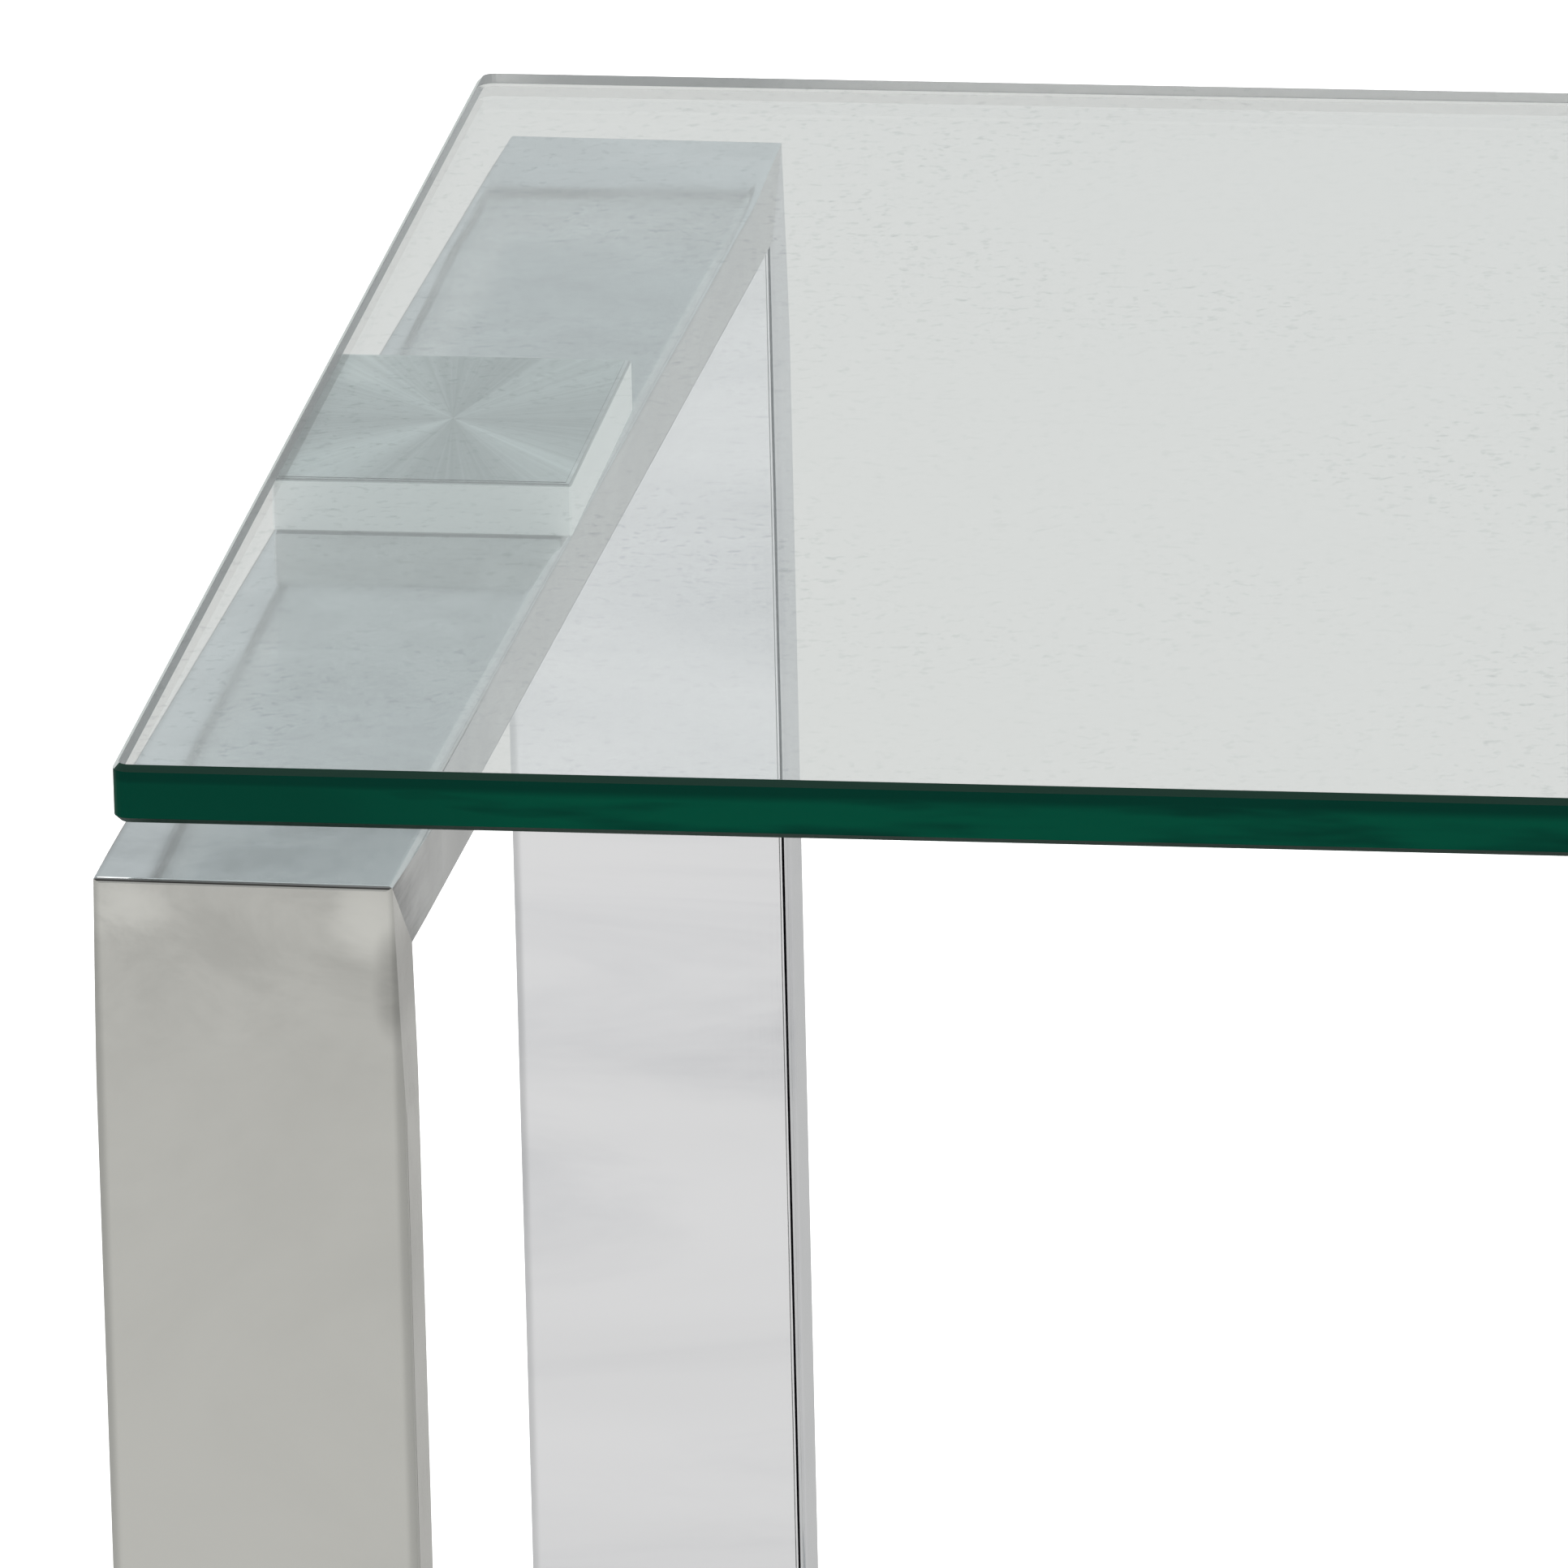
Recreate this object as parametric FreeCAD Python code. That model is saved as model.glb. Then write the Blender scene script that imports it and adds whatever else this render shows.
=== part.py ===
# Console table: a clear glass top carried on two closed frames of polished steel tube.
#
# Row frame, millimetres: X along the table, +Y to the back, +Z up. The origin is on the
# floor under the middle of the table. Each frame is a rectangular loop of four mitred tubes.
# A steel block is bonded under each end of the glass and bolted down to the frame's top rail,
# and each frame stands on two screw-in levelling feet.

import FreeCAD, Part
import math
import os

Vector = FreeCAD.Vector
X_AXIS = Vector(1, 0, 0)
Y_AXIS = Vector(0, 1, 0)
Z_AXIS = Vector(0, 0, 1)

# Overall sizes
table_height = 750.0
glass_length = 1200.0
glass_depth = 400.0
glass_thick = 10.0
glass_corner_radius = 3.0
glass_arris = 1.0  # the ground bevel along every long edge of the glass

# Frame tube
tube_width = 52.0
tube_thick = 15.0
tube_wall = 1.5
tube_corner_radius = 2.0
weld_edge_radius = 0.8  # the mitred corners are ground to this
weld_dress_depth = 1.0  # taken off a tube's sides at a corner, where its weld is dressed flush
weld_dress_length = 40.0  # over which that fades out
frame_depth = 400.0
frame_turn = 1.3  # degrees that each frame stands off square, inside its bolt clearance

# Block between the glass and the top rail, and the bond that holds it
block_width = 52.0
block_depth = 72.0
block_height = 9.5
block_edge = 0.4
bond_thick = 0.2
bond_inset = 1.0

# M8 button-head bolts that hold the block down, two at each end
bolt_radius = 4.0
bolt_length = 10.0
bolt_spacing = 44.0
bolt_head_radius = 7.0
bolt_head_height = 4.4
bolt_socket_flats = 5.0
bolt_socket_depth = 2.6
bolt_head_round = 1.8
thread_play = 0.03
tapped_depth = 8.0
rail_bolt_clearance = 0.75  # room round each bolt in the rail, which the frame's turn takes up
washer_radius = 8.0
washer_play = 0.2
washer_thick = 1.6

# Plugs that close the holes under the top rail, where the bolts go in
access_clearance = 1.0  # round a washer as it goes in
plug_cap_overlap = 1.8
plug_cap_thick = 1.2
plug_cap_round = 0.6
plug_sleeve_depth = 3.5
plug_sleeve_wall = 1.2
plug_play = 0.1

# Levelling feet: a threaded insert in the bottom rail, a stud and a fluted base
foot_inset = 36.0  # from the end of the bottom rail to the foot's axis
foot_travel = 8.0
base_radius = 13.0
base_height = 6.0
base_flutes = 12
base_flute_radius = 2.4
base_flute_bite = 1.0
base_edge = 0.8
base_floor = 1.2  # plastic left under the stud
stud_radius = 4.0
stud_end_play = 0.8  # between the stud's top and the rail's upper wall
stud_chamfer = 0.8
running_play = 0.06
insert_wall = 1.5
insert_length = 9.0
insert_flange_width = 2.5
insert_flange_thick = 1.0
base_gap = 0.6  # between the base and the insert's flange with the foot screwed right in

# Fits and levels that follow from the sizes above
rail_bolt_hole_radius = bolt_radius + rail_bolt_clearance
washer_bore_radius = bolt_radius + washer_play
access_hole_radius = washer_radius + access_clearance
plug_cap_radius = access_hole_radius + plug_cap_overlap
insert_radius = stud_radius + insert_wall
insert_flange_radius = insert_radius + insert_flange_width
glass_under = table_height - glass_thick
block_top = glass_under - bond_thick
frame_top = block_top - block_height
frame_bottom = base_height + base_gap + insert_flange_thick
end_offset = glass_length / 2 - block_width / 2  # from the middle of the table to a block's middle
foot_offset = frame_depth / 2 - foot_inset


def box(low, high):
    size = high - low
    return Part.makeBox(size.x, size.y, size.z, low)


def centred_box(width, depth, bottom, top):
    return box(Vector(-width / 2, -depth / 2, bottom), Vector(width / 2, depth / 2, top))


def cylinder(radius, bottom, top, x=0.0, y=0.0):
    return Part.makeCylinder(radius, top - bottom, Vector(x, y, bottom), Z_AXIS)


def is_along(edge, axis):
    if not isinstance(edge.Curve, Part.Line):
        return False
    return abs(abs(edge.Curve.Direction.dot(axis)) - 1.0) < 1e-6


def is_level_at(edge, level):
    bounds = edge.BoundBox
    return abs(bounds.ZMin - level) < 1e-6 and abs(bounds.ZMax - level) < 1e-6


def edges_at(shape, level):
    return [edge for edge in shape.Edges if is_level_at(edge, level)]


def rounded_bar(low, high, axis, radius):
    bar = box(low, high)
    return bar.makeFillet(radius, [edge for edge in bar.Edges if is_along(edge, axis)])


def hex_prism(flats, bottom, top, x, y):
    corner = flats / math.sqrt(3)
    angles = [math.radians(60 * n) for n in range(7)]
    points = [Vector(x + corner * math.cos(a), y + corner * math.sin(a), bottom) for a in angles]
    return Part.Face(Part.makePolygon(points)).extrude(Vector(0, 0, top - bottom))


# The glass

def glass_top():
    slab = centred_box(glass_length, glass_depth, glass_under, table_height)
    slab = slab.makeFillet(glass_corner_radius, [e for e in slab.Edges if is_along(e, Z_AXIS)])
    rims = edges_at(slab, glass_under) + edges_at(slab, table_height)
    return slab.makeChamfer(glass_arris, rims)


# The frame's four tubes, in a frame of their own with the loop in the YZ plane

def tube(along, low_y, high_y, low_z, high_z):
    half = tube_width / 2
    outer = rounded_bar(Vector(-half, low_y, low_z), Vector(half, high_y, high_z), along, tube_corner_radius)
    wall = Vector(tube_wall, tube_wall, tube_wall) - along * tube_wall
    inner = rounded_bar(
        Vector(-half, low_y, low_z) + wall,
        Vector(half, high_y, high_z) - wall,
        along,
        tube_corner_radius - tube_wall,
    )
    return outer.cut(inner)


def mitred(shape, corners):
    # Keeps what lies inside the four (y, z) corners of the tube's mitred outline.
    points = [Vector(-tube_width / 2, y, z) for y, z in corners]
    outline = Part.Face(Part.makePolygon(points + points[:1]))
    return shape.common(outline.extrude(X_AXIS * tube_width))


def loop_envelope():
    half = frame_depth / 2
    low = Vector(-tube_width / 2, -half, frame_bottom)
    high = Vector(tube_width / 2, half, frame_top)
    return rounded_bar(low, high, X_AXIS, weld_edge_radius)


def dressed_sides(shape, across, end_axis, low, high):
    # Narrows a tube's two sides towards its ends. across is the axis that the outline is drawn out along.
    half = tube_width / 2
    narrow = half - weld_dress_depth
    outline = [(narrow, low), (half, low + weld_dress_length)]
    outline += [(half, high - weld_dress_length), (narrow, high)]
    outline += [(-x, end) for x, end in reversed(outline)]
    reach = table_height
    points = [X_AXIS * x + end_axis * end - across * reach for x, end in outline]
    keep = Part.Face(Part.makePolygon(points + points[:1])).extrude(across * 2 * reach)
    return shape.common(keep)


def leg(side):
    # side is -1 for the front leg and +1 for the rear one.
    outer = side * frame_depth / 2
    inner = outer - side * tube_thick
    stock = tube(Z_AXIS, min(outer, inner), max(outer, inner), frame_bottom, frame_top)
    corners = [
        (outer, frame_bottom),
        (outer, frame_top),
        (inner, frame_top - tube_thick),
        (inner, frame_bottom + tube_thick),
    ]
    made = mitred(stock, corners).common(loop_envelope())
    return dressed_sides(made, Y_AXIS, Z_AXIS, frame_bottom, frame_top)


def rail(outer, inner):
    # A tube from front to back. outer and inner are the levels of its outside and inside faces.
    half = frame_depth / 2
    stock = tube(Y_AXIS, -half, half, min(outer, inner), max(outer, inner))
    corners = [(-half, outer), (half, outer), (half - tube_thick, inner), (-half + tube_thick, inner)]
    made = mitred(stock, corners).common(loop_envelope())
    return dressed_sides(made, Z_AXIS, Y_AXIS, -half, half)


def top_rail():
    inside = frame_top - tube_wall
    underside = frame_top - tube_thick
    made = rail(frame_top, underside)
    for y in bolt_places():
        made = made.cut(cylinder(rail_bolt_hole_radius, inside - tube_wall, frame_top + tube_wall, 0.0, y))
        made = made.cut(cylinder(access_hole_radius, underside - tube_wall, underside + 2 * tube_wall, 0.0, y))
    return made


def bottom_rail():
    made = rail(frame_bottom, frame_bottom + tube_thick)
    for y in foot_places():
        made = made.cut(cylinder(insert_radius, frame_bottom - tube_wall, frame_bottom + 2 * tube_wall, 0.0, y))
    return made


# The block and its fixings, centred on the end of the glass

def bolt_places():
    return [-bolt_spacing / 2, bolt_spacing / 2]


def foot_places():
    return [-foot_offset, foot_offset]


def mounting_block():
    block = centred_box(block_width, block_depth, frame_top, block_top)
    block = block.makeChamfer(block_edge, block.Edges)
    for y in bolt_places():
        block = block.cut(cylinder(bolt_radius + thread_play, frame_top, frame_top + tapped_depth, 0.0, y))
    return block


def bond_film():
    width = block_width - 2 * bond_inset
    depth = block_depth - 2 * bond_inset
    return centred_box(width, depth, block_top, glass_under)


def washer(y):
    top = frame_top - tube_wall
    bottom = top - washer_thick
    return cylinder(washer_radius, bottom, top, 0.0, y).cut(cylinder(washer_bore_radius, bottom, top, 0.0, y))


def bolt(y):
    bearing = frame_top - tube_wall - washer_thick
    crown = bearing - bolt_head_height
    head = cylinder(bolt_head_radius, crown, bearing, 0.0, y)
    head = head.makeFillet(bolt_head_round, edges_at(head, crown))
    shank = cylinder(bolt_radius, bearing, bearing + bolt_length, 0.0, y)
    socket = hex_prism(bolt_socket_flats, crown, crown + bolt_socket_depth, 0.0, y)
    return head.fuse(shank).cut(socket)


def access_plug(y):
    underside = frame_top - tube_thick
    cap = cylinder(plug_cap_radius, underside - plug_cap_thick, underside, 0.0, y)
    cap = cap.makeFillet(plug_cap_round, edges_at(cap, underside - plug_cap_thick))
    outer = access_hole_radius - plug_play
    sleeve = cylinder(outer, underside, underside + plug_sleeve_depth, 0.0, y)
    hollow = cylinder(outer - plug_sleeve_wall, underside, underside + plug_sleeve_depth, 0.0, y)
    return cap.fuse(sleeve.cut(hollow))


# The levelling feet

def foot_insert(y):
    flange = cylinder(insert_flange_radius, frame_bottom - insert_flange_thick, frame_bottom, 0.0, y)
    body = cylinder(insert_radius, frame_bottom, frame_bottom + insert_length, 0.0, y)
    bore_bottom = frame_bottom - insert_flange_thick
    bore = cylinder(stud_radius + running_play, bore_bottom, frame_bottom + insert_length, 0.0, y)
    return flange.fuse(body).cut(bore)


def foot_stud(y):
    top = frame_bottom + tube_thick - tube_wall - stud_end_play
    stud = cylinder(stud_radius, base_floor, top, 0.0, y)
    return stud.makeChamfer(stud_chamfer, edges_at(stud, top))


def foot_base(y):
    base = cylinder(base_radius, 0.0, base_height, 0.0, y)
    base = base.makeChamfer(base_edge, edges_at(base, 0.0) + edges_at(base, base_height))
    flute_circle = base_radius + base_flute_radius - base_flute_bite
    for n in range(base_flutes):
        angle = 2 * math.pi * n / base_flutes
        x = flute_circle * math.cos(angle)
        base = base.cut(cylinder(base_flute_radius, 0.0, base_height, x, y + flute_circle * math.sin(angle)))
    return base.cut(cylinder(stud_radius + running_play, base_floor, base_height, 0.0, y))


# Putting the pieces in place

def at_block(shape, side):
    placed = shape.copy()
    placed.translate(X_AXIS * side * end_offset)
    return placed


def in_frame(shape, side):
    # The two frames are mirror images, so they turn opposite ways.
    placed = shape.copy()
    placed.rotate(Vector(0, 0, 0), Z_AXIS, side * frame_turn)
    return at_block(placed, side)


def group(maker, places):
    return Part.makeCompound([maker(y) for y in places])


def end_pieces(name, side):
    pieces = {
        "front_leg": in_frame(leg(-1), side),
        "rear_leg": in_frame(leg(1), side),
        "top_rail": in_frame(top_rail(), side),
        "bottom_rail": in_frame(bottom_rail(), side),
        "mounting_block": at_block(mounting_block(), side),
        "bond_film": at_block(bond_film(), side),
        "mounting_bolts": at_block(group(bolt, bolt_places()), side),
        "mounting_washers": at_block(group(washer, bolt_places()), side),
        "access_plugs": in_frame(group(access_plug, bolt_places()), side),
        "foot_inserts": in_frame(group(foot_insert, foot_places()), side),
    }
    for place, y in zip(("front", "rear"), foot_places()):
        pieces[place + "_foot_stud"] = in_frame(foot_stud(y), side)
        pieces[place + "_foot_base"] = in_frame(foot_base(y), side)
    return {name + "_" + piece: shape for piece, shape in pieces.items()}


def table_pieces():
    pieces = {"glass_top": glass_top()}
    pieces.update(end_pieces("left", -1))
    pieces.update(end_pieces("right", 1))
    return pieces


os.makedirs("parts", exist_ok=True)
for node, shape in table_pieces().items():
    shape.exportStep(os.path.join("parts", node + ".step"))
    print(node, len(shape.Solids), "solids", round(shape.Volume / 1000.0, 2), "cm3", shape.isValid())
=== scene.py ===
import math

import bmesh
import bpy
from mathutils import Matrix, Vector


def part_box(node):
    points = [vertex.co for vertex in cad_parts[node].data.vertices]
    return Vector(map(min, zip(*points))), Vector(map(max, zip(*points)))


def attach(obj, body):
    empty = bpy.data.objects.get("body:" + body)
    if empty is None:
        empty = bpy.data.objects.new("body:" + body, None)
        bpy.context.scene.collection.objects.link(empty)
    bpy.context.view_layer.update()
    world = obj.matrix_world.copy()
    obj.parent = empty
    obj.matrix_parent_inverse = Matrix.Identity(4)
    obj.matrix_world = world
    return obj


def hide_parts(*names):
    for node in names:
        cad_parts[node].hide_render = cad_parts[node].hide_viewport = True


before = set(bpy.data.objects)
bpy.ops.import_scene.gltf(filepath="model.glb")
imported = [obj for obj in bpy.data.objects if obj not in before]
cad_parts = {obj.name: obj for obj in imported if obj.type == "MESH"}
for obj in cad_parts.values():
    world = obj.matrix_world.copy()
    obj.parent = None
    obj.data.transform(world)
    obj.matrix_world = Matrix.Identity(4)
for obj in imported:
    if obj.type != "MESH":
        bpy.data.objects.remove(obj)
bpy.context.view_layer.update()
scene = bpy.context.scene
print("frame loaded:", len(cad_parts), "nodes")


viewCamera = {
    "aimFromEnd": 0.1118,     # along the glass's front edge from its left end, m
    "aimAboveTop": -0.0004,   # m
    "stepRight": 0.5685,      # of the lens from the glass's left end, m
    "stepBack": 3.113,        # of the lens in front of the glass's front edge, m
    "riseAboveTop": 1.0547,   # m
    "viewWidth": 0.2562,      # seen across the glass's front edge, m
    "filmWidth": 36.0,        # mm
}


def makeCamera():
    low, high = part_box("glass_top")
    corner = Vector((low.x, low.y, high.z))
    aim = corner + Vector((viewCamera["aimFromEnd"], 0, viewCamera["aimAboveTop"]))
    place = corner + Vector((viewCamera["stepRight"], -viewCamera["stepBack"], viewCamera["riseAboveTop"]))
    data = bpy.data.cameras.new("viewCamera")
    data.sensor_width = viewCamera["filmWidth"]
    data.lens = viewCamera["filmWidth"] * (place - aim).length / viewCamera["viewWidth"]
    data.clip_start = 0.05
    data.clip_end = 200.0
    back = (place - aim).normalized()
    # rolled so that level edges and uprights share what the slanting view takes from their right angle
    level = Vector((1, 0, 0)) - back.x * back
    upright = Vector((0, 0, 1)) - back.z * back
    across = (level.normalized() + upright.normalized().cross(back)).normalized()
    turn = Matrix((across, back.cross(across), back)).transposed()
    camera = bpy.data.objects.new("viewCamera", data)
    scene.collection.objects.link(camera)
    camera.matrix_world = Matrix.Translation(place) @ turn.to_4x4()
    scene.camera = camera


makeCamera()
print("camera placed")


floorLook = {
    "size": 60.0,                        # m
    "seen": (0.98, 0.98, 0.98),          # what the camera sees directly: the white sweep
    "lighting": (0.450, 0.441, 0.428),   # what glass and steel pick up of it
    "roughness": 0.7,
}
studioSky = {
    "behind": (0.66, 0.70, 0.71),    # the low back wall, which the glass and the rail's top mirror
    "front": (0.60, 0.60, 0.59),     # the low wall in front of the table
    "above": (0.05, 0.05, 0.05),     # the unlit part over that wall
    "overhead": (0.22, 0.22, 0.22),
    "seen": (1, 1, 1),               # what the camera sees directly
    "strength": 1.0,
    # where each part fades into the next, as a share of straight back or straight up
    "frontToBehind": (-0.25, 0.45),
    "frontToAbove": (0.48, 0.53),
    "toOverhead": (0.72, 0.98),
}
softboxes = {
    # name: place, size, power in watts, spread in degrees
    "overheadSoftbox": ((-0.3, 2.2, 3.4), 3.2, 30.0, 120.0),
    "frontSoftbox": ((-0.8, -1.9, 3.0), 1.3, 19.0, 95.0),
}
ceilingWash = {"strength": 2.6, "width": 100.0}    # an even light from straight above; width in degrees


def newMaterial(name):
    material = bpy.data.materials.new(name)
    material.use_nodes = True
    tree = material.node_tree
    return material, tree.nodes, tree.links, tree.nodes["Principled BSDF"]


def node(nodes, kind, **values):
    made = nodes.new(kind)
    for key, value in values.items():
        setattr(made, key, value)
    return made


def mathNode(nodes, links, operation, first, second, clamp=False):
    made = node(nodes, "ShaderNodeMath", operation=operation, use_clamp=clamp)
    for socket, value in zip(made.inputs, (first, second)):
        if isinstance(value, (int, float)):
            socket.default_value = value
        else:
            links.new(value, socket)
    return made.outputs[0]


def rangeNode(nodes, links, value, low, high, toLow, toHigh, smooth=True):
    made = node(nodes, "ShaderNodeMapRange", interpolation_type="SMOOTHSTEP" if smooth else "LINEAR")
    for label, number in (("From Min", low), ("From Max", high), ("To Min", toLow), ("To Max", toHigh)):
        made.inputs[label].default_value = number
    links.new(value, made.inputs["Value"])
    return made.outputs["Result"]


def colourMix(nodes, links, factor, first, second):
    made = node(nodes, "ShaderNodeMix", data_type="RGBA")
    links.new(factor, made.inputs["Factor"])
    for label, colour in (("A", first), ("B", second)):
        if isinstance(colour, bpy.types.NodeSocket):
            links.new(colour, made.inputs[label])
        else:
            made.inputs[label].default_value = (*colour, 1)
    return made.outputs["Result"]


def meshObject(name, bm):
    mesh = bpy.data.meshes.new(name)
    bm.to_mesh(mesh)
    bm.free()
    made = bpy.data.objects.new(name, mesh)
    scene.collection.objects.link(made)
    return made


def makeFloor():
    bm = bmesh.new()
    bmesh.ops.create_grid(bm, x_segments=1, y_segments=1, size=floorLook["size"] / 2)
    floor = meshObject("floor", bm)
    material, nodes, links, shader = newMaterial("whiteSweep")
    path = node(nodes, "ShaderNodeLightPath")
    tone = colourMix(nodes, links, path.outputs["Is Camera Ray"], floorLook["lighting"], floorLook["seen"])
    links.new(tone, shader.inputs["Base Color"])
    shader.inputs["Roughness"].default_value = floorLook["roughness"]
    shader.inputs["Specular IOR Level"].default_value = 0.0
    floor.data.materials.append(material)


def makeWorld():
    world = bpy.data.worlds.new("studio")
    scene.world = world
    world.use_nodes = True
    nodes, links = world.node_tree.nodes, world.node_tree.links
    split = node(nodes, "ShaderNodeSeparateXYZ")
    links.new(node(nodes, "ShaderNodeTexCoord").outputs["Generated"], split.inputs[0])
    overWall = rangeNode(nodes, links, split.outputs["Z"], *studioSky["frontToAbove"], 0, 1)
    inFront = colourMix(nodes, links, overWall, studioSky["front"], studioSky["above"])
    backward = rangeNode(nodes, links, split.outputs["Y"], *studioSky["frontToBehind"], 0, 1)
    around = colourMix(nodes, links, backward, inFront, studioSky["behind"])
    upward = rangeNode(nodes, links, split.outputs["Z"], *studioSky["toOverhead"], 0, 1)
    lighting = nodes["Background"]
    links.new(colourMix(nodes, links, upward, around, studioSky["overhead"]), lighting.inputs["Color"])
    lighting.inputs["Strength"].default_value = studioSky["strength"]
    seen = node(nodes, "ShaderNodeBackground")
    seen.inputs["Color"].default_value = (*studioSky["seen"], 1)
    path = node(nodes, "ShaderNodeLightPath")
    pick = node(nodes, "ShaderNodeMixShader")
    links.new(path.outputs["Is Camera Ray"], pick.inputs["Fac"])
    links.new(lighting.outputs[0], pick.inputs[1])
    links.new(seen.outputs[0], pick.inputs[2])
    links.new(pick.outputs[0], nodes["World Output"].inputs["Surface"])


def hideLamp(lamp, mirrored):
    # it lights the table, and shows itself at most in the steel and glass
    lamp.visible_camera = False
    lamp.visible_transmission = False
    lamp.visible_glossy = mirrored
    scene.collection.objects.link(lamp)


def makeLights():
    for name, (place, size, power, spread) in softboxes.items():
        data = bpy.data.lights.new(name, "AREA")
        data.shape = "SQUARE"
        data.size = size
        data.energy = power
        data.spread = math.radians(spread)
        lamp = bpy.data.objects.new(name, data)
        lamp.location = place
        hideLamp(lamp, name != "frontSoftbox")
    ceiling = bpy.data.lights.new("ceilingWash", "SUN")
    ceiling.energy = ceilingWash["strength"]
    ceiling.angle = math.radians(ceilingWash["width"])
    hideLamp(bpy.data.objects.new("ceilingWash", ceiling), False)


edgeFlag = {
    "fromLeg": 0.075,            # out to the right of the left legs, m
    "reach": (-0.05, 0.11),      # front to back, m
    "bottom": 0.25,              # above the floor, m
    "height": 0.44,              # m
    "tone": (0.004, 0.004, 0.005),
}


def makeEdgeFlag():
    # a black card that the rounded edge of the rear upright picks up as a dark line
    bm = bmesh.new()
    bmesh.ops.create_grid(bm, x_segments=1, y_segments=1, size=0.5)
    front, rear = edgeFlag["reach"]
    bmesh.ops.scale(bm, vec=(edgeFlag["height"], rear - front, 1), verts=bm.verts)
    bmesh.ops.rotate(bm, cent=(0, 0, 0), matrix=Matrix.Rotation(math.radians(90), 3, "Y"), verts=bm.verts)
    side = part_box("left_rear_leg")[1].x + edgeFlag["fromLeg"]
    middle = edgeFlag["bottom"] + edgeFlag["height"] / 2
    bmesh.ops.translate(bm, vec=(side, (front + rear) / 2, middle), verts=bm.verts)
    card = meshObject("edgeFlag", bm)
    material, nodes, links, shader = newMaterial("blackCard")
    shader.inputs["Base Color"].default_value = (*edgeFlag["tone"], 1)
    shader.inputs["Roughness"].default_value = 1.0
    shader.inputs["Specular IOR Level"].default_value = 0.0
    card.data.materials.append(material)
    for kind in ("camera", "diffuse", "transmission", "shadow", "volume_scatter"):
        setattr(card, "visible_" + kind, False)


makeFloor()
makeWorld()
makeEdgeFlag()
makeLights()
scene.view_settings.view_transform = "Standard"
print("stage lit")


def newGroup(name, inputs, outputs):
    tree = bpy.data.node_groups.new(name, "ShaderNodeTree")
    for label, kind, value in inputs:
        socket = tree.interface.new_socket(name=label, in_out="INPUT", socket_type=kind)
        if value is not None:
            socket.default_value = value
    for label, kind in outputs:
        tree.interface.new_socket(name=label, in_out="OUTPUT", socket_type=kind)
    return tree, tree.nodes, tree.links, tree.nodes.new("NodeGroupInput"), tree.nodes.new("NodeGroupOutput")


def makeHandlingMarks():
    # cloudy wipe marks and finger grease: a mask from 0 to 1, and a slow wave for the bump
    tree, nodes, links, into, out = newGroup(
        "handlingMarks",
        [("Vector", "NodeSocketVector", None), ("Scale", "NodeSocketFloat", 9.0),
         ("Stretch", "NodeSocketVector", (1, 1, 1))],
        [("Mask", "NodeSocketFloat"), ("Wave", "NodeSocketFloat")])
    stretched = node(nodes, "ShaderNodeVectorMath", operation="MULTIPLY")
    links.new(into.outputs["Vector"], stretched.inputs[0])
    links.new(into.outputs["Stretch"], stretched.inputs[1])
    cloud = node(nodes, "ShaderNodeTexNoise")
    cloud.inputs["Detail"].default_value = 6.0
    cloud.inputs["Roughness"].default_value = 0.62
    cloud.inputs["Distortion"].default_value = 0.6
    wave = node(nodes, "ShaderNodeTexNoise")
    wave.inputs["Detail"].default_value = 1.0
    for texture in (cloud, wave):
        links.new(stretched.outputs[0], texture.inputs["Vector"])
        links.new(into.outputs["Scale"], texture.inputs["Scale"])
    links.new(rangeNode(nodes, links, cloud.outputs["Fac"], 0.35, 0.7, 0, 1), out.inputs["Mask"])
    links.new(wave.outputs["Fac"], out.inputs["Wave"])
    return tree


handlingMarks = makeHandlingMarks()


def addGroup(nodes, links, tree, vector, **values):
    made = node(nodes, "ShaderNodeGroup", node_tree=tree)
    links.new(vector, made.inputs["Vector"])
    for label, value in values.items():
        made.inputs[label].default_value = value
    return made


def bumpNode(nodes, links, height, distance, strength=1.0, before=None):
    made = node(nodes, "ShaderNodeBump")
    made.inputs["Strength"].default_value = strength
    made.inputs["Distance"].default_value = distance
    links.new(height, made.inputs["Height"])
    if before is not None:
        links.new(before, made.inputs["Normal"])
    return made.outputs["Normal"]


steelFinish = {
    "roughness": (0.045, 0.13),
    "railRoughness": (0.08, 0.16),
    "cloudScale": 17.0,
    "handledShare": {"front": 0.5, "rear": 1.0, "rail": 0.75},    # how much of the handled tone shows
    # painted highlights and painted shade of the rounded corner near the top of a front leg: in from its
    # outer side, down from the top, half width, half height (m), then the tone, lighter or darker
    "paintedCornerLights": ((0.0060, 0.0048, 0.0100, 0.0075, 1.20), (0.0465, 0.0072, 0.0085, 0.0100, 1.20),
                      (0.0512, 0.0172, 0.0052, 0.0120, 0.58)),
    "waveHeight": 0.0011,
    "polishLines": 0.000012,
    "hairScale": 900.0,
    "paintedShoulderShadeBand": (0.045, 0.006),    # below the top, where the painted shade along the rounded shoulder starts and is full, m
    "paintedShoulderShadeScale": 42.0,
    "paintedShoulderShadeShare": 0.6,
    "paintedShoulderShadeTone": 0.8,       # of the handled tone
    "raggedness": 0.45,       # of the dressed places' outlines
    "wiped": {"front": (1, 1, 1), "rear": (0.35, 1, 1.7), "rail": (1, 0.7, 1)},    # the way the cloth went
    # clean tone, handled tone, and how much of a glancing reflection stays; each set is the same steel, with
    # painted light on the rear legs and rails and painted shade on the front legs
    "front": ((0.54, 0.545, 0.526), (0.49, 0.495, 0.476), (0.84, 0.84, 0.84)),
    "rear": ((0.80, 0.81, 0.84), (0.70, 0.715, 0.75), (0.78, 0.79, 0.80)),
    "rail": ((0.85, 0.875, 0.88), (0.80, 0.825, 0.83), (0.64, 0.64, 0.645)),
}


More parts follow.
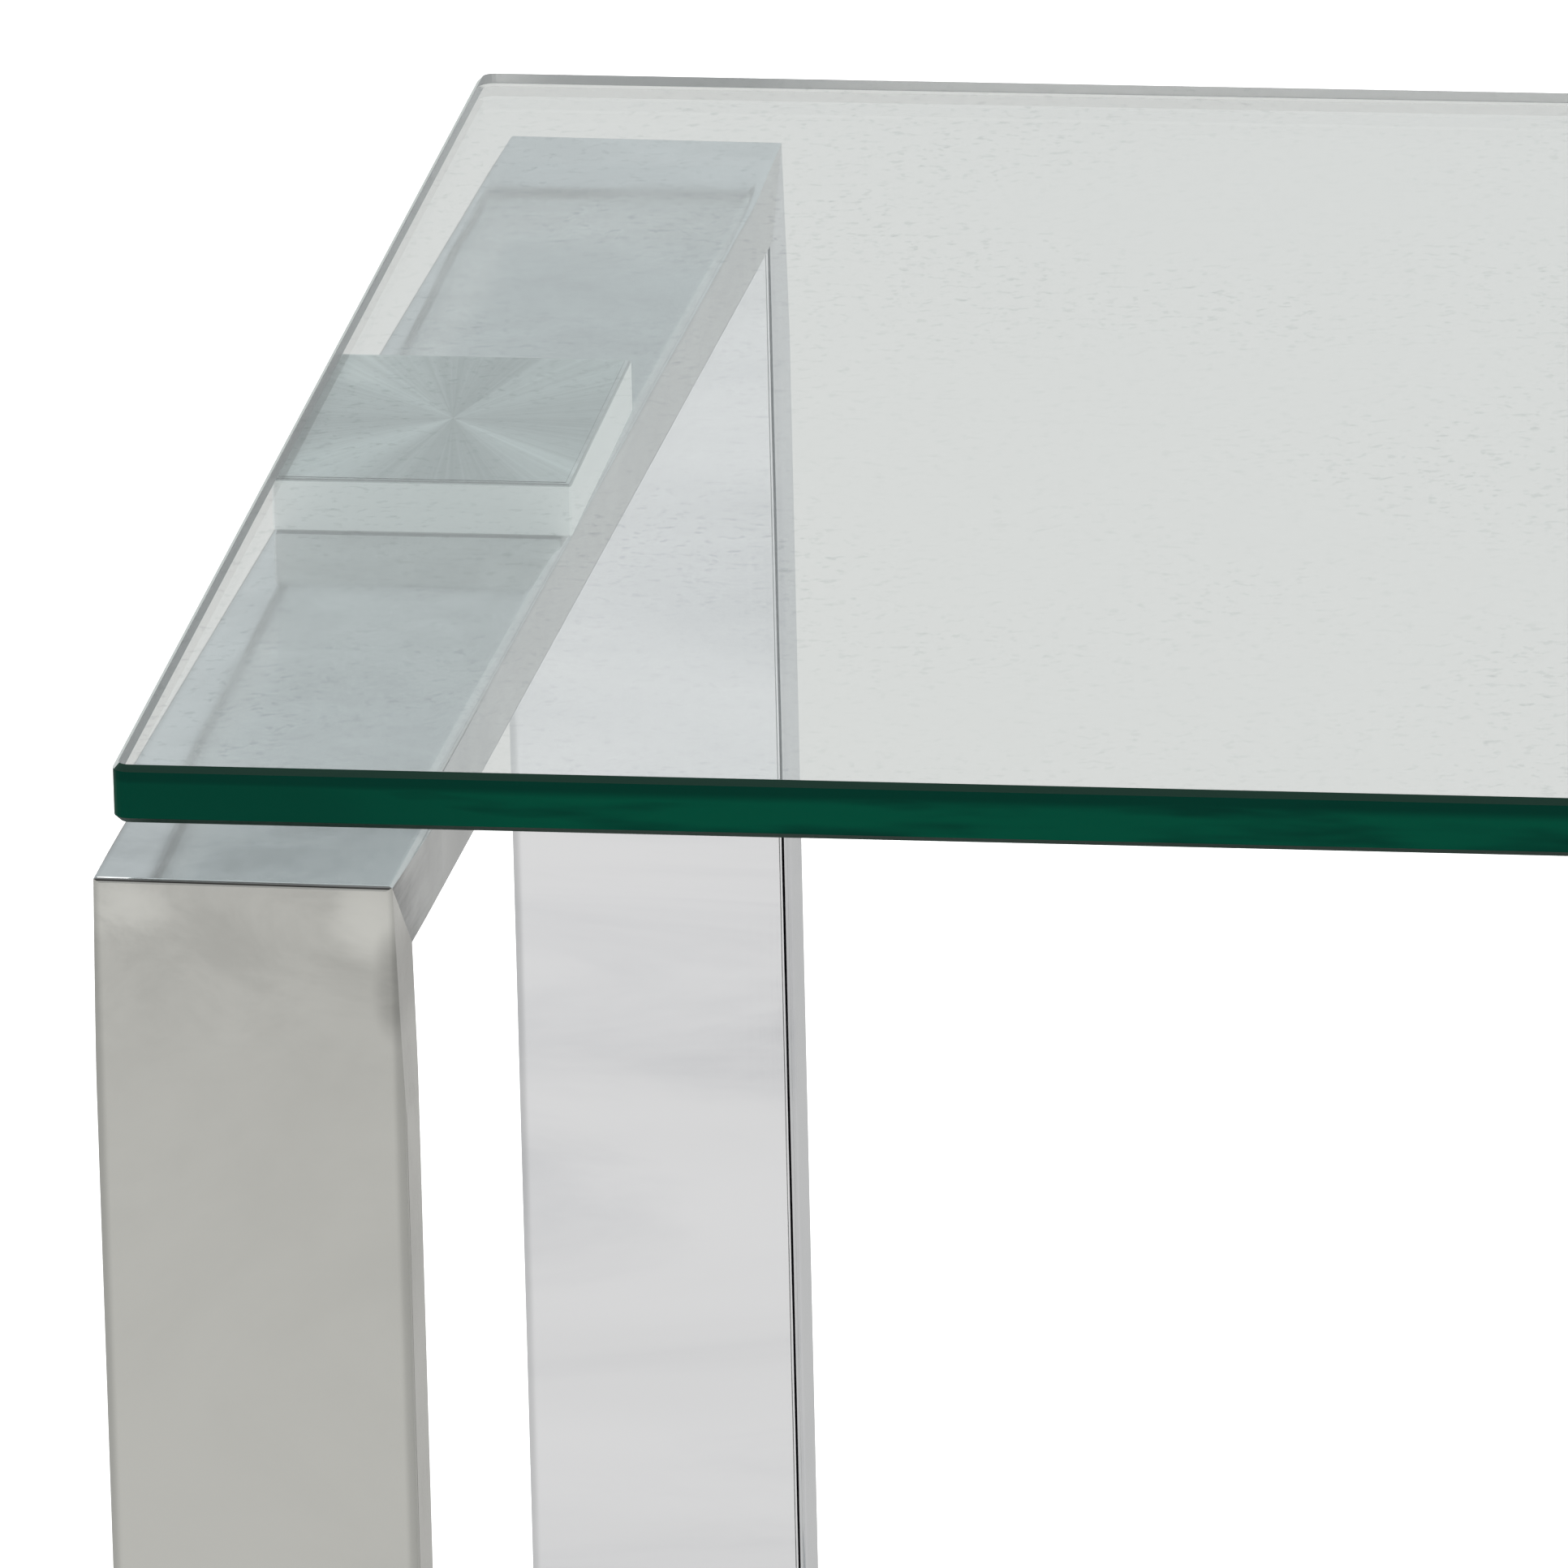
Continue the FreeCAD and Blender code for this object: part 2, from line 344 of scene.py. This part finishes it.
def addPaintedCornerLights(nodes, links, split, mottle, colour, clean, top):
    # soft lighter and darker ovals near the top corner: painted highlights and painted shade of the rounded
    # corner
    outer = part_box("right_front_leg")[1].x
    fromMiddle = mathNode(nodes, links, "ABSOLUTE", split.outputs["X"], 0)
    for inward, down, halfWidth, halfHeight, strength in steelFinish["paintedCornerLights"]:
        across = mathNode(nodes, links, "MULTIPLY",
                          mathNode(nodes, links, "SUBTRACT", fromMiddle, outer - inward), 1 / halfWidth)
        along = mathNode(nodes, links, "MULTIPLY",
                         mathNode(nodes, links, "SUBTRACT", split.outputs["Z"], top - down), 1 / halfHeight)
        squared = mathNode(nodes, links, "ADD", mathNode(nodes, links, "MULTIPLY", across, across),
                           mathNode(nodes, links, "MULTIPLY", along, along))
        ragged = mathNode(nodes, links, "ADD", squared,
                          mathNode(nodes, links, "MULTIPLY", mottle, steelFinish["raggedness"]))
        oval = rangeNode(nodes, links, ragged, -0.25, 1, 1, 0)
        colour = colourMix(nodes, links, oval, colour, [min(1.0, c * strength) for c in clean])
    return colour


def makeSteel(kind, stretch):
    # mirror-polished stainless tube; stretch runs the polishing lines along the tube
    # the kind picks a tone set with painted light or painted shade for how that part is lit: rear legs and
    # rails painted lighter, front legs darker
    clean, handled, glancing = steelFinish[kind]
    material, nodes, links, shader = newMaterial(kind + "Steel")
    place = node(nodes, "ShaderNodeTexCoord").outputs["Object"]
    marks = addGroup(nodes, links, handlingMarks, place, Scale=steelFinish["cloudScale"],
                     Stretch=steelFinish["wiped"][kind])
    lines = node(nodes, "ShaderNodeMapping")
    lines.inputs["Scale"].default_value = stretch
    links.new(place, lines.inputs["Vector"])
    hair = node(nodes, "ShaderNodeTexNoise")
    hair.inputs["Scale"].default_value = steelFinish["hairScale"]
    hair.inputs["Detail"].default_value = 3.0
    links.new(lines.outputs[0], hair.inputs["Vector"])
    share = steelFinish["handledShare"][kind]
    tone = colourMix(nodes, links, mathNode(nodes, links, "MULTIPLY", marks.outputs["Mask"], share),
                     clean, handled)
    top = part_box("left_top_rail")[1].z
    split = node(nodes, "ShaderNodeSeparateXYZ")
    links.new(place, split.inputs[0])
    # a patchy darker band below the top: painted shade along the rounded shoulder
    start, full = steelFinish["paintedShoulderShadeBand"]
    nearTop = rangeNode(nodes, links, split.outputs["Z"], top - start, top - full, 0, 1)
    patches = addGroup(nodes, links, handlingMarks, place, Scale=steelFinish["paintedShoulderShadeScale"],
                       Stretch=(1.0, 1.0, 1.6))
    patchShare = mathNode(nodes, links, "MULTIPLY", patches.outputs["Mask"], steelFinish["paintedShoulderShadeShare"])
    # the mask of the painted shoulder shade
    dressing = mathNode(nodes, links, "MULTIPLY", nearTop, patchShare)
    paintedShoulderShadeTone = [c * steelFinish["paintedShoulderShadeTone"] for c in handled]
    colour = colourMix(nodes, links, dressing, tone, paintedShoulderShadeTone)
    # painted highlights and painted shade at the front legs' top corners
    if kind == "front":
        colour = addPaintedCornerLights(nodes, links, split, patches.outputs["Mask"], colour, clean, top)
    links.new(colour, shader.inputs["Base Color"])
    shader.inputs["Metallic"].default_value = 1.0
    shader.inputs["Specular Tint"].default_value = (*glancing, 1)
    low, high = steelFinish["railRoughness" if kind == "rail" else "roughness"]
    links.new(rangeNode(nodes, links, marks.outputs["Mask"], 0, 1, low, high), shader.inputs["Roughness"])
    waved = bumpNode(nodes, links, marks.outputs["Wave"], steelFinish["waveHeight"])
    fine = bumpNode(nodes, links, hair.outputs["Fac"], steelFinish["polishLines"], 1.0, waved)
    links.new(fine, shader.inputs["Normal"])
    return material


turnedFinish = {
    "light": (0.90, 0.935, 0.93),
    "dark": (0.27, 0.295, 0.292),
    "rim": (0.34, 0.36, 0.36),
    "sides": (0.92, 0.95, 0.95),
    "sideMetallic": 0.15,
    "roughness": 0.30,
    "streaks": 26.0,
    "streakShare": 0.3,
    "streakHeight": 0.00004,
    "anisotropy": 0.6,
    # heights from the block's top face, where one part gives way to the next, m
    "flatFrom": (-0.00003, -0.00001),
    "topFrom": (-0.0003, -0.0001),
    "rimFrom": (-0.00041, -0.00039),
    # round the block from its left side through the front: how light each fan is, a painted reflection in the
    # brush lines
    "paintedFanReflections": ((0.0, 0.42), (0.02, 0.33), (0.09, 0.58), (0.144, 1.0), (0.18, 0.8), (0.205, 0.35),
             (0.25, 0.12), (0.31, 0.22), (0.345, 0.6), (0.367, 1.0), (0.385, 0.62), (0.44, 0.46),
             (0.498, 0.3), (0.51, 0.42), (0.56, 0.5), (0.644, 0.66), (0.70, 0.55), (0.708, 0.12),
             (0.78, 0.16), (0.815, 0.4), (0.856, 0.74), (0.89, 0.5), (0.97, 0.47), (1.0, 0.42)),
}


def makeTurned(end):
    # a sunburst of brush lines out from the middle of the block's top, with painted reflections in light and
    # dark fans; its sides are satin
    material, nodes, links, shader = newMaterial(end + "TurnedSteel")
    low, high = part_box(end + "_mounting_block")
    middle = (low + high) / 2
    place = node(nodes, "ShaderNodeTexCoord").outputs["Object"]
    centred = node(nodes, "ShaderNodeMapping")
    centred.inputs["Location"].default_value = (-middle.x, -middle.y, -high.z)
    links.new(place, centred.inputs["Vector"])
    flat = node(nodes, "ShaderNodeVectorMath", operation="MULTIPLY")
    links.new(centred.outputs[0], flat.inputs[0])
    flat.inputs[1].default_value = (1, 1, 0)
    ray = node(nodes, "ShaderNodeVectorMath", operation="NORMALIZE")
    links.new(flat.outputs[0], ray.inputs[0])
    streak = node(nodes, "ShaderNodeTexNoise")
    streak.inputs["Scale"].default_value = turnedFinish["streaks"]
    streak.inputs["Detail"].default_value = 7.0
    streak.inputs["Roughness"].default_value = 0.7
    links.new(ray.outputs[0], streak.inputs["Vector"])
    split = node(nodes, "ShaderNodeSeparateXYZ")
    links.new(centred.outputs[0], split.inputs[0])
    angle = mathNode(nodes, links, "ARCTAN2", split.outputs["Y"], split.outputs["X"])
    paintedFanReflections = node(nodes, "ShaderNodeValToRGB")
    ramp = paintedFanReflections.color_ramp
    for at, value in turnedFinish["paintedFanReflections"][1:-1]:
        ramp.elements.new(at)
    for element, (at, value) in zip(ramp.elements, turnedFinish["paintedFanReflections"]):
        element.position = at
        element.color = (value, value, value, 1)
    links.new(rangeNode(nodes, links, angle, -math.pi, math.pi, 0, 1, smooth=False), paintedFanReflections.inputs["Fac"])
    share = turnedFinish["streakShare"]
    fine = rangeNode(nodes, links, streak.outputs["Fac"], 0.3, 0.7, 0, 1)
    spread = mathNode(nodes, links, "ADD", mathNode(nodes, links, "MULTIPLY", fine, share),
                      mathNode(nodes, links, "MULTIPLY", paintedFanReflections.outputs["Color"], 1 - share))
    tone = colourMix(nodes, links, spread, turnedFinish["dark"], turnedFinish["light"])
    height = split.outputs["Z"]
    onFlat, isTop, atRim = [rangeNode(nodes, links, height, *turnedFinish[part], 0, 1, smooth=False)
                            for part in ("flatFrom", "topFrom", "rimFrom")]
    around = colourMix(nodes, links, atRim, turnedFinish["sides"], turnedFinish["rim"])
    links.new(colourMix(nodes, links, onFlat, around, tone), shader.inputs["Base Color"])
    links.new(rangeNode(nodes, links, isTop, 0, 1, turnedFinish["sideMetallic"], 1, smooth=False),
              shader.inputs["Metallic"])
    shader.inputs["Roughness"].default_value = turnedFinish["roughness"]
    shader.inputs["Anisotropic"].default_value = turnedFinish["anisotropy"]
    links.new(ray.outputs[0], shader.inputs["Tangent"])
    grooves = mathNode(nodes, links, "MULTIPLY", streak.outputs["Fac"], isTop)
    links.new(bumpNode(nodes, links, grooves, turnedFinish["streakHeight"]), shader.inputs["Normal"])
    return material


glassFinish = {
    "ior": 1.52,
    "tint": (0.965, 0.985, 0.98),
    "lampTint": (0.86, 0.90, 0.89),
    "edge": (0.0004, 0.072, 0.041),
    "edgeDeep": (0.0003, 0.026, 0.019),
    # the arrises are one finish: painted shade on the front arris, painted light on the others
    "frontArris": (0.008, 0.028, 0.020),
    "otherArris": (0.42, 0.45, 0.44),
    "groundRoughness": 0.45,     # of the edges, seen from inside the glass
    "speckTint": (0.73, 0.77, 0.76),
    "speckScale": 400.0,
    "speckRange": (0.58, 0.68),
    "driftScale": 11.0,
    "driftRange": (0.36, 0.64),
    "leastDust": 0.2,
    "endScale": 55.0,            # the deeper green near the ends of an edge: its ragged border,
    "endWander": 0.03,           # how far that strays, m,
    "endReach": (0.07, 0.01),    # and how far in from the end it starts and is full, m
    "endShare": 0.45,
    "patchScale": 85.0,          # the darker streaks along an edge
    "patchStretch": (0.22, 1, 1.6),
    "patchRange": (0.46, 0.66),
    "patchShare": 0.8,
    "underTop": (0.0042, 0.0022),    # the darker band below an edge's top, from and to, m
    "underTopShare": 0.75,
}


def glassShader(nodes, links, shader, roughness=0.0):
    shader.inputs["Base Color"].default_value = (*glassFinish["tint"], 1)
    shader.inputs["Transmission Weight"].default_value = 1.0
    shader.inputs["Roughness"].default_value = roughness
    shader.inputs["IOR"].default_value = glassFinish["ior"]
    clear = node(nodes, "ShaderNodeBsdfTransparent")
    clear.inputs["Color"].default_value = (*glassFinish["lampTint"], 1)
    path = node(nodes, "ShaderNodeLightPath")
    passing = mathNode(nodes, links, "MAXIMUM", path.outputs["Is Shadow Ray"],
                       path.outputs["Is Diffuse Ray"])
    mix = node(nodes, "ShaderNodeMixShader")
    links.new(passing, mix.inputs["Fac"])
    links.new(shader.outputs[0], mix.inputs[1])
    links.new(clear.outputs[0], mix.inputs[2])
    return mix.outputs[0]


def makeGlassFace():
    # dust and dried wipe marks lie on it as faint specks, thickest in drifts
    material, nodes, links, shader = newMaterial("clearGlass")
    place = node(nodes, "ShaderNodeTexCoord").outputs["Object"]
    specks = node(nodes, "ShaderNodeTexNoise")
    specks.inputs["Scale"].default_value = glassFinish["speckScale"]
    specks.inputs["Detail"].default_value = 3.0
    drifts = node(nodes, "ShaderNodeTexNoise")
    drifts.inputs["Scale"].default_value = glassFinish["driftScale"]
    drifts.inputs["Detail"].default_value = 4.0
    for texture in (specks, drifts):
        links.new(place, texture.inputs["Vector"])
    speck = rangeNode(nodes, links, specks.outputs["Fac"], *glassFinish["speckRange"], 0, 1)
    drift = rangeNode(nodes, links, drifts.outputs["Fac"], *glassFinish["driftRange"],
                      glassFinish["leastDust"], 1)
    dust = mathNode(nodes, links, "MULTIPLY", speck, drift)
    links.new(colourMix(nodes, links, dust, glassFinish["tint"], glassFinish["speckTint"]),
              shader.inputs["Base Color"])
    links.new(glassShader(nodes, links, shader), nodes["Material Output"].inputs["Surface"])
    return material


def makeGlassEdge(name, colour, deepColour, roughness, shine):    # the two colours by their names
    # seen from outside, an edge is the deep green of a long way through the glass; from inside it mirrors
    material, nodes, links, shader = newMaterial(name)
    low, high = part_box("glass_top")
    place = node(nodes, "ShaderNodeTexCoord").outputs["Object"]
    split = node(nodes, "ShaderNodeSeparateXYZ")
    links.new(place, split.inputs[0])
    fromMiddle = mathNode(nodes, links, "ABSOLUTE", split.outputs["X"], 0)
    border = node(nodes, "ShaderNodeTexNoise")
    border.inputs["Scale"].default_value = glassFinish["endScale"]
    links.new(place, border.inputs["Vector"])
    wander = mathNode(nodes, links, "MULTIPLY", border.outputs["Fac"], glassFinish["endWander"])
    start, full = glassFinish["endReach"]
    nearEnd = rangeNode(nodes, links, mathNode(nodes, links, "ADD", fromMiddle, wander),
                        high.x - start, high.x - full, 0, 1)
    atEnd = mathNode(nodes, links, "MULTIPLY", nearEnd, glassFinish["endShare"])
    along = node(nodes, "ShaderNodeMapping")
    along.inputs["Scale"].default_value = glassFinish["patchStretch"]
    links.new(place, along.inputs["Vector"])
    depths = node(nodes, "ShaderNodeTexNoise")
    depths.inputs["Scale"].default_value = glassFinish["patchScale"]
    depths.inputs["Detail"].default_value = 3.0
    links.new(along.outputs[0], depths.inputs["Vector"])
    patches = rangeNode(nodes, links, depths.outputs["Fac"], *glassFinish["patchRange"],
                        0, glassFinish["patchShare"])
    start, full = glassFinish["underTop"]
    underTop = rangeNode(nodes, links, split.outputs["Z"], high.z - start, high.z - full,
                         0, glassFinish["underTopShare"])
    shaded = mathNode(nodes, links, "MAXIMUM", underTop, patches)
    deep = mathNode(nodes, links, "MAXIMUM", atEnd, shaded)
    tone = colourMix(nodes, links, deep, glassFinish[colour], glassFinish[deepColour])
    links.new(tone, shader.inputs["Base Color"])
    shader.inputs["Roughness"].default_value = roughness
    shader.inputs["Specular IOR Level"].default_value = shine
    inside = node(nodes, "ShaderNodeBsdfPrincipled")
    side = node(nodes, "ShaderNodeNewGeometry")
    mix = node(nodes, "ShaderNodeMixShader")
    links.new(side.outputs["Backfacing"], mix.inputs["Fac"])
    links.new(shader.outputs[0], mix.inputs[1])
    links.new(glassShader(nodes, links, inside, glassFinish["groundRoughness"]), mix.inputs[2])
    links.new(mix.outputs[0], nodes["Material Output"].inputs["Surface"])
    return material


bondFinish = {"tint": (0.97, 0.99, 0.985), "ior": 1.05, "roughness": 0.02}


def makeBond():
    # cured clear adhesive, nearly invisible between the block and the glass
    material, nodes, links, shader = newMaterial("clearBond")
    place = node(nodes, "ShaderNodeTexCoord").outputs["Object"]
    flow = node(nodes, "ShaderNodeTexNoise")
    flow.inputs["Scale"].default_value = 60.0
    links.new(place, flow.inputs["Vector"])
    tint = bondFinish["tint"]
    links.new(colourMix(nodes, links, flow.outputs["Fac"], tint, [c * 0.99 for c in tint]),
              shader.inputs["Base Color"])
    shader.inputs["Transmission Weight"].default_value = 1.0
    shader.inputs["IOR"].default_value = bondFinish["ior"]
    shader.inputs["Roughness"].default_value = bondFinish["roughness"]
    clear = node(nodes, "ShaderNodeBsdfTransparent")
    path = node(nodes, "ShaderNodeLightPath")
    mix = node(nodes, "ShaderNodeMixShader")
    links.new(path.outputs["Is Shadow Ray"], mix.inputs["Fac"])
    links.new(shader.outputs[0], mix.inputs[1])
    links.new(clear.outputs[0], mix.inputs[2])
    links.new(mix.outputs[0], nodes["Material Output"].inputs["Surface"])
    return material


smallFinishes = {
    # tone, second tone, metallic, least and most roughness, grain scale, grain height in m, cloud scale
    "brightFastener": ((0.66, 0.66, 0.65), (0.50, 0.50, 0.49), 1.0, 0.18, 0.36, 1400.0, 0.00001, 160.0),
    "zincPlate": ((0.62, 0.65, 0.68), (0.60, 0.57, 0.47), 1.0, 0.26, 0.42, 900.0, 0.00001, 90.0),
    "greyPlastic": ((0.30, 0.31, 0.315), (0.25, 0.26, 0.265), 0.0, 0.38, 0.55, 2600.0, 0.00002, 120.0),
    "blackNylon": ((0.016, 0.016, 0.017), (0.028, 0.028, 0.028), 0.0, 0.36, 0.58, 2200.0, 0.00003, 110.0),
}


def makeSmall(name):
    tone, second, metallic, least, most, grainScale, grainHeight, cloudScale = smallFinishes[name]
    material, nodes, links, shader = newMaterial(name)
    place = node(nodes, "ShaderNodeTexCoord").outputs["Object"]
    marks = addGroup(nodes, links, handlingMarks, place, Scale=cloudScale)
    links.new(colourMix(nodes, links, marks.outputs["Mask"], tone, second), shader.inputs["Base Color"])
    shader.inputs["Metallic"].default_value = metallic
    links.new(rangeNode(nodes, links, marks.outputs["Mask"], 0, 1, least, most), shader.inputs["Roughness"])
    grain = node(nodes, "ShaderNodeTexNoise")
    grain.inputs["Scale"].default_value = grainScale
    grain.inputs["Detail"].default_value = 2.0
    links.new(place, grain.inputs["Vector"])
    links.new(bumpNode(nodes, links, grain.outputs["Fac"], grainHeight), shader.inputs["Normal"])
    return material


finishes = {
    "frontSteel": makeSteel("front", (1, 1, 0.02)),
    "rearSteel": makeSteel("rear", (1, 1, 0.02)),
    "railSteel": makeSteel("rail", (1, 0.02, 1)),
    "leftBlock": makeTurned("left"),
    "rightBlock": makeTurned("right"),
    "glassFace": makeGlassFace(),
    "glassEdge": makeGlassEdge("greenGlassEdge", "edge", "edgeDeep", 0.15, 0.03),
    # one arris finish, with painted shade at the front and painted light elsewhere
    "frontArris": makeGlassEdge("frontArrisPaintedShade", "frontArris", "frontArris", 0.4, 0.1),
    "otherArris": makeGlassEdge("otherArrisPaintedLight", "otherArris", "otherArris", 0.4, 0.2),
    "clearBond": makeBond(),
}
for name in smallFinishes:
    finishes[name] = makeSmall(name)
print("finishes made")


glassPlate = {"cornerRadius": 0.003, "cornerSegments": 6, "arris": 0.001}


def makeGlassPlate():
    low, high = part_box("glass_top")
    bm = bmesh.new()
    bmesh.ops.create_cube(bm, size=1.0)
    bmesh.ops.scale(bm, vec=high - low, verts=bm.verts)
    bmesh.ops.translate(bm, vec=(high + low) / 2, verts=bm.verts)
    upright = [e for e in bm.edges if abs(e.verts[0].co.z - e.verts[1].co.z) > 0.001]
    bmesh.ops.bevel(bm, geom=upright, offset=glassPlate["cornerRadius"], offset_type="OFFSET", affect="EDGES",
                    segments=glassPlate["cornerSegments"], profile=0.5, material=-1)
    level = [e for e in bm.edges if abs(e.verts[0].co.z - e.verts[1].co.z) < 1e-6]
    bmesh.ops.bevel(bm, geom=level, offset=glassPlate["arris"], offset_type="OFFSET", affect="EDGES",
                    segments=1, profile=0.5, material=-1)
    bm.normal_update()
    for face in bm.faces:
        upward = abs(face.normal.z)
        toFront = face.normal.y < -0.3
        face.material_index = 0 if upward > 0.99 else (1 if upward < 0.1 else (2 if toFront else 3))
    plate = meshObject("glassPlate", bm)
    for finish in ("glassFace", "glassEdge", "frontArris", "otherArris"):
        plate.data.materials.append(finishes[finish])
    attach(plate, "table")
    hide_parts("glass_top")


makeGlassPlate()
print("glass plate made")


bondPiece = {"clear": 0.00002, "edge": 0.00003}    # left free above and below, and its rim's bevel, m


def makeBondFilm(end):
    low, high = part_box(end + "_bond_film")
    gap = Vector((0, 0, bondPiece["clear"]))
    bm = bmesh.new()
    bmesh.ops.create_cube(bm, size=1.0)
    bmesh.ops.scale(bm, vec=high - low - 2 * gap, verts=bm.verts)
    bmesh.ops.translate(bm, vec=(high + low) / 2, verts=bm.verts)
    bmesh.ops.bevel(bm, geom=bm.edges[:], offset=bondPiece["edge"], offset_type="OFFSET", affect="EDGES",
                    segments=2, profile=0.5, material=-1)
    film = meshObject(end + "BondFilm", bm)
    film.data.materials.append(finishes["clearBond"])
    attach(film, "table")
    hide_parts(end + "_bond_film")


for end in ("left", "right"):
    makeBondFilm(end)
print("bond films made")

dressing = {
    "front_leg": "frontSteel",
    "rear_leg": "rearSteel",
    "rail": "railSteel",
    "mounting_bolts": "brightFastener",
    "mounting_washers": "brightFastener",
    "access_plugs": "greyPlastic",
    "foot_inserts": "zincPlate",
    "foot_stud": "zincPlate",
    "foot_base": "blackNylon",
    "left_mounting_block": "leftBlock",
    "right_mounting_block": "rightBlock",
}
for name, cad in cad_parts.items():
    for ending, finish in dressing.items():
        if name.endswith(ending):
            cad.data.materials.clear()
            cad.data.materials.append(finishes[finish])
print("frame, blocks and fixings dressed")
